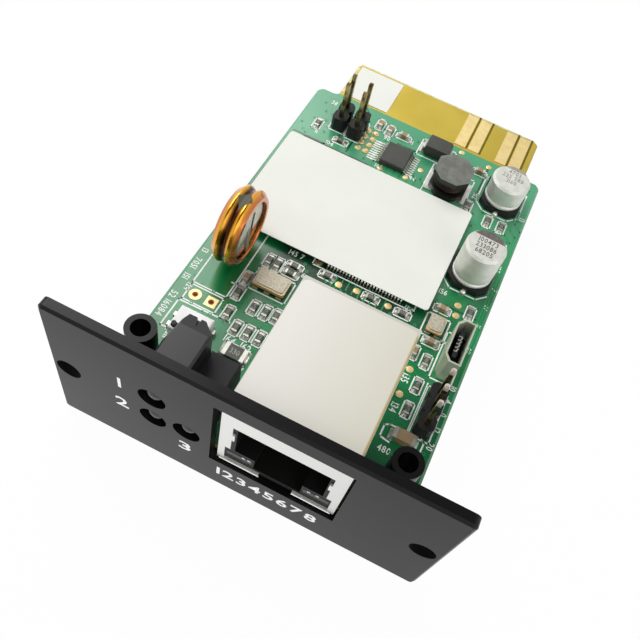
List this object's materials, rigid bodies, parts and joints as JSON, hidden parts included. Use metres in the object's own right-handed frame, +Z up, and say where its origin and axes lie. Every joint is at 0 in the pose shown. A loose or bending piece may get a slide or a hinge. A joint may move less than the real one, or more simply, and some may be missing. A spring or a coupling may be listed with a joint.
{
  "type": "plug-in network management card",
  "caption": "Plug-in network card: green circuit board with an edge connector, a black faceplate, a shielded network jack, lights, chips, headers and a sleeved supercapacitor.",
  "frame": {"origin": "middle of the base of the card's box, on the plane that the faceplate's lower edge rests on", "axes": "+Y from the faceplate to the edge connector, +Z up from the board's component side, +X across the card"},
  "size_m": [0.052, 0.08, 0.025],
  "materials": {
    "faceplate_black": "satin moulded",
    "laminate": "green solder mask over glass laminate",
    "gold_plating": "thin gold over nickel",
    "white_ink": "printed",
    "zinc_steel": "zinc plated",
    "shield_steel": "nickel plated sheet",
    "connector_black": "moulded",
    "clear_light": "clear moulded",
    "label_cream": "paper",
    "holder_black": "moulded",
    "lens_grey": "milky",
    "tinned_metal": "tinned",
    "switch_white": "moulded",
    "amber_sleeve": "shrunk film",
    "cell_steel": "pressed sheet",
    "ceramic_black": "matt",
    "crystal_metal": "plated",
    "capacitor_aluminium": "satin",
    "ferrite": "matt",
    "copper_wire": "enamelled",
    "package_black": "moulded resin",
    "label_white": "paper",
    "capacitor_brown": "smooth",
    "resistor_black": "glazed"
  },
  "bodies": {
    "card": {"faceplate": "faceplate_black", "circuit_board": "laminate", "edge_fingers": "gold_plating", "board_pads": "gold_plating", "tab_label": "white_ink", "faceplate_screws": "zinc_steel", "rj45_shield": "shield_steel", "rj45_housing": "connector_black", "rj45_contacts": "gold_plating", "rj45_indicators": "clear_light", "rj45_label": "label_cream", "led_holder": "holder_black", "power_led": "lens_grey", "run_led": "lens_grey", "status_led": "lens_grey", "led_leads": "tinned_metal", "switch_body": "switch_white", "switch_terminals": "tinned_metal", "supercap_sleeve": "amber_sleeve", "supercap_cell_left": "cell_steel", "supercap_cell_right": "cell_steel", "supercap_leads": "tinned_metal", "large_crystal_base": "ceramic_black", "large_crystal_can": "crystal_metal", "small_crystal_base": "ceramic_black", "small_crystal_can": "crystal_metal", "tall_capacitor_can": "capacitor_aluminium", "tall_capacitor_base": "connector_black", "short_capacitor_can": "capacitor_aluminium", "short_capacitor_base": "connector_black", "capacitor_terminals": "tinned_metal", "inductor_core": "ferrite", "inductor_winding": "copper_wire", "inductor_terminals": "tinned_metal", "diode_body": "package_black", "diode_terminals": "tinned_metal", "processor_chip": "package_black", "processor_leads": "tinned_metal", "memory_chip": "package_black", "memory_leads": "tinned_metal", "interface_chip": "package_black", "interface_leads": "tinned_metal", "transceiver_chip": "package_black", "chip_label": "label_white", "usb_shell": "shield_steel", "usb_insert": "connector_black", "serial_header_body": "connector_black", "serial_header_pins": "gold_plating", "jumper_header_left": "connector_black", "jumper_header_right": "connector_black", "jumper_header_pins": "gold_plating", "ceramic_capacitor_body": "capacitor_brown", "ceramic_capacitor_ends": "tinned_metal", "chip_resistors": "resistor_black", "chip_resistor_ends": "tinned_metal", "chip_capacitors": "capacitor_brown", "chip_capacitor_ends": "tinned_metal"},
    "slider": {"switch_slider": "connector_black"}
  },
  "joints": [
    {"name": "switch_slide", "type": "slide", "parent": "card", "child": "slider", "axis": [1, 0, 0], "range_m": [0, 0.0015]}
  ]
}
